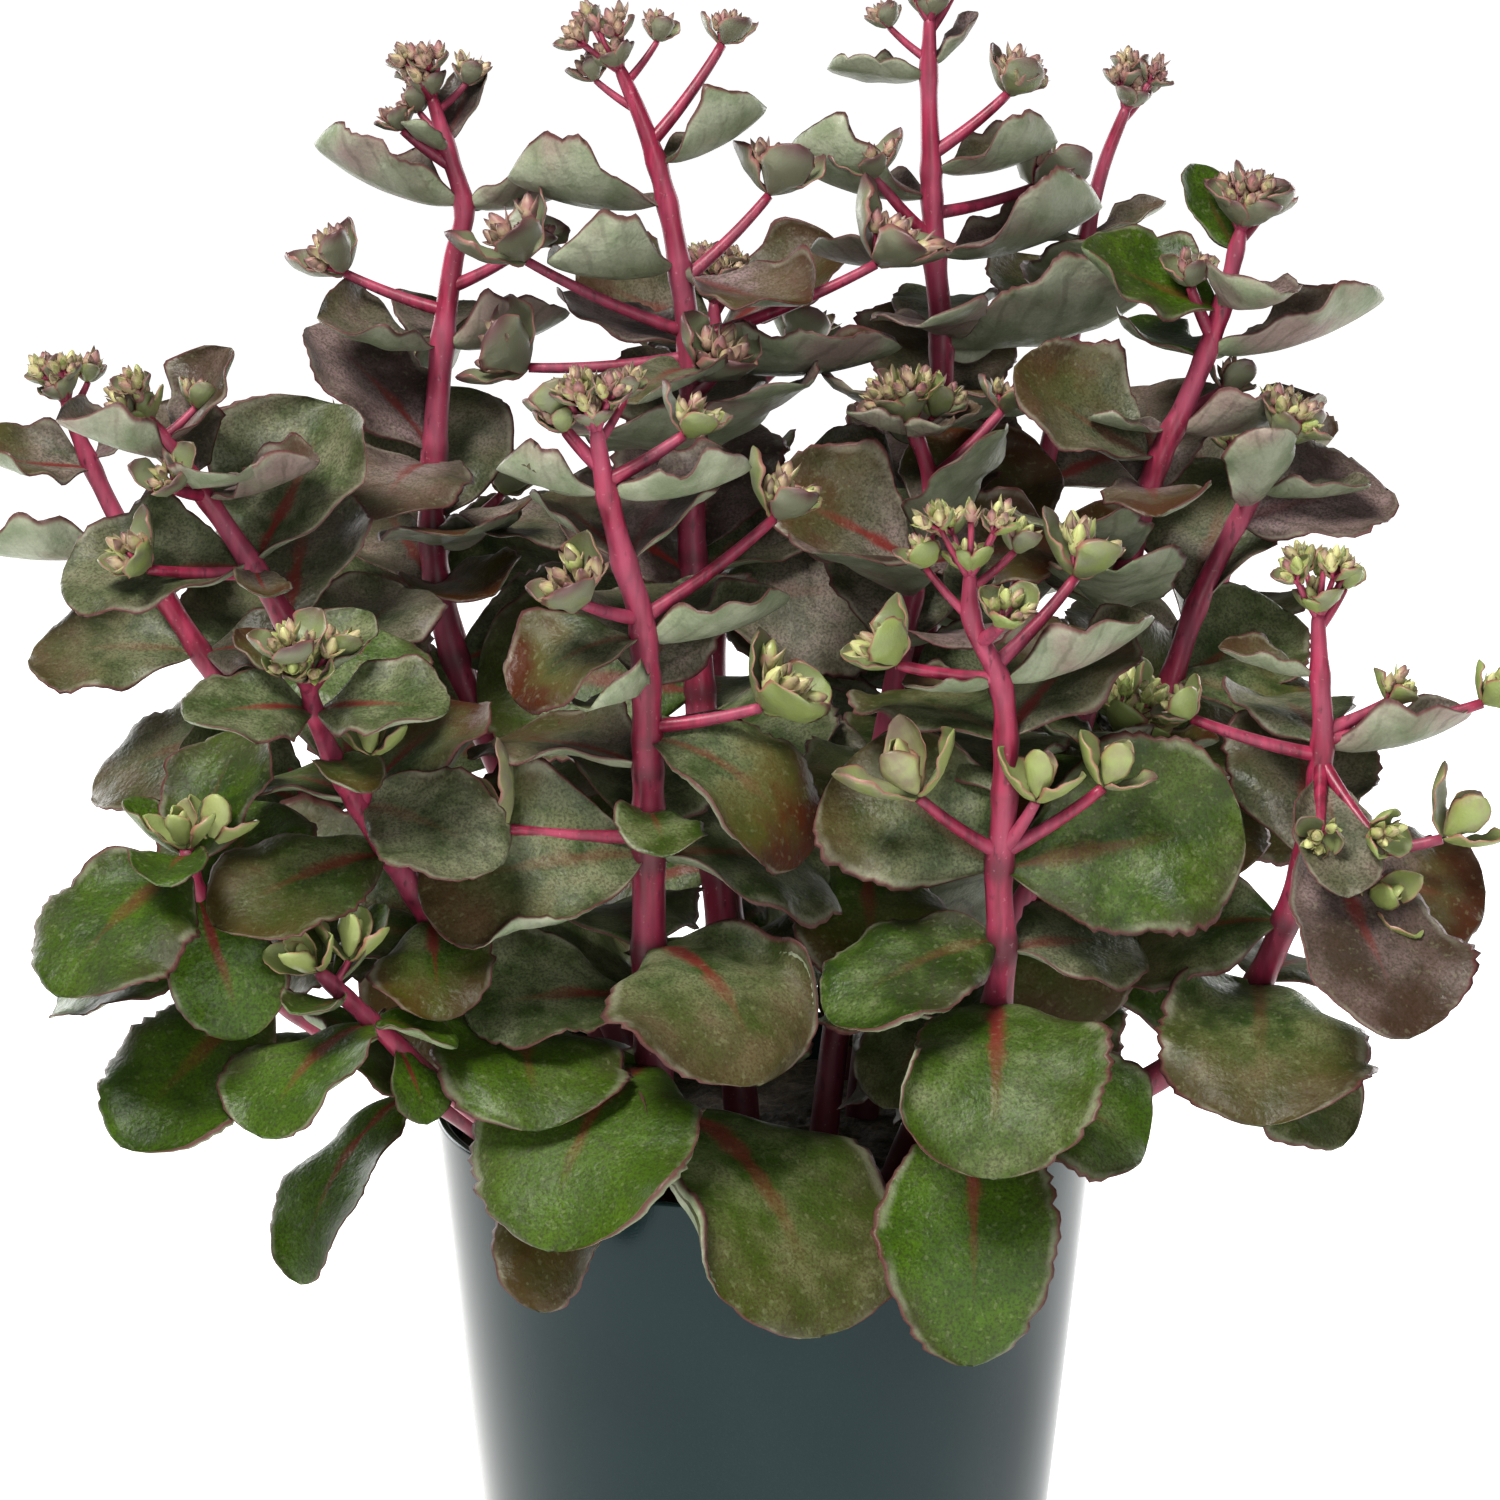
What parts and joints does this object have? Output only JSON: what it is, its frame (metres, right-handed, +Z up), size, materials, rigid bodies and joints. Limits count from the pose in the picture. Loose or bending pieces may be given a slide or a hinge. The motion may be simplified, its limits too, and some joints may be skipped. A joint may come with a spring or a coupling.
{
  "type": "potted orpine",
  "caption": "Bushy bronze-leaved stonecrop with pink stems and clusters of flower buds, growing in a plain tapered slate-grey pot.",
  "frame": {"origin": "centre of the pot's flat base", "axes": "+Z up, -Y towards the viewer of the picture, +X to the viewer's right"},
  "size_m": [0.3766, 0.2763, 0.4454],
  "materials": {
    "pot_slate": "satin, fine grain",
    "potting_mix": "rough, loose, dark brown",
    "orpine_stem_centre_front": "waxy green to bronze leaves on pink stems",
    "orpine_stem_front_right": "waxy green to bronze leaves on pink stems",
    "orpine_stem_right_front": "waxy green to bronze leaves on pink stems",
    "orpine_stem_left_front": "waxy green to bronze leaves on pink stems",
    "orpine_stem_low_left": "waxy green to bronze leaves on pink stems",
    "orpine_stem_low_left_small": "waxy green to bronze leaves on pink stems",
    "orpine_stem_far_left": "waxy green to bronze leaves on pink stems",
    "orpine_stem_far_left_back": "waxy green to bronze leaves on pink stems",
    "orpine_stem_left_back": "waxy green to bronze leaves on pink stems",
    "orpine_stem_centre_back": "waxy green to bronze leaves on pink stems",
    "orpine_stem_right_back": "waxy green to bronze leaves on pink stems",
    "orpine_stem_right_back_thin": "waxy green to bronze leaves on pink stems",
    "orpine_stem_right_upper": "waxy green to bronze leaves on pink stems",
    "orpine_stem_right_mid": "waxy green to bronze leaves on pink stems",
    "orpine_stem_middle": "waxy green to bronze leaves on pink stems",
    "orpine_stem_right_low": "waxy green to bronze leaves on pink stems",
    "orpine_stem_back_left": "waxy green to bronze leaves on pink stems",
    "orpine_stem_back_centre": "waxy green to bronze leaves on pink stems",
    "orpine_stem_back_right": "waxy green to bronze leaves on pink stems",
    "orpine_stem_back_low": "waxy green to bronze leaves on pink stems"
  },
  "bodies": {
    "root": {"pot": "pot_slate", "soil": "potting_mix", "stem_centre_front": "orpine_stem_centre_front", "stem_front_right": "orpine_stem_front_right", "stem_right_front": "orpine_stem_right_front", "stem_left_front": "orpine_stem_left_front", "stem_low_left": "orpine_stem_low_left", "stem_low_left_small": "orpine_stem_low_left_small", "stem_far_left": "orpine_stem_far_left", "stem_far_left_back": "orpine_stem_far_left_back", "stem_left_back": "orpine_stem_left_back", "stem_centre_back": "orpine_stem_centre_back", "stem_right_back": "orpine_stem_right_back", "stem_right_back_thin": "orpine_stem_right_back_thin", "stem_right_upper": "orpine_stem_right_upper", "stem_right_mid": "orpine_stem_right_mid", "stem_middle": "orpine_stem_middle", "stem_right_low": "orpine_stem_right_low", "stem_back_left": "orpine_stem_back_left", "stem_back_centre": "orpine_stem_back_centre", "stem_back_right": "orpine_stem_back_right", "stem_back_low": "orpine_stem_back_low"}
  },
  "joints": []
}
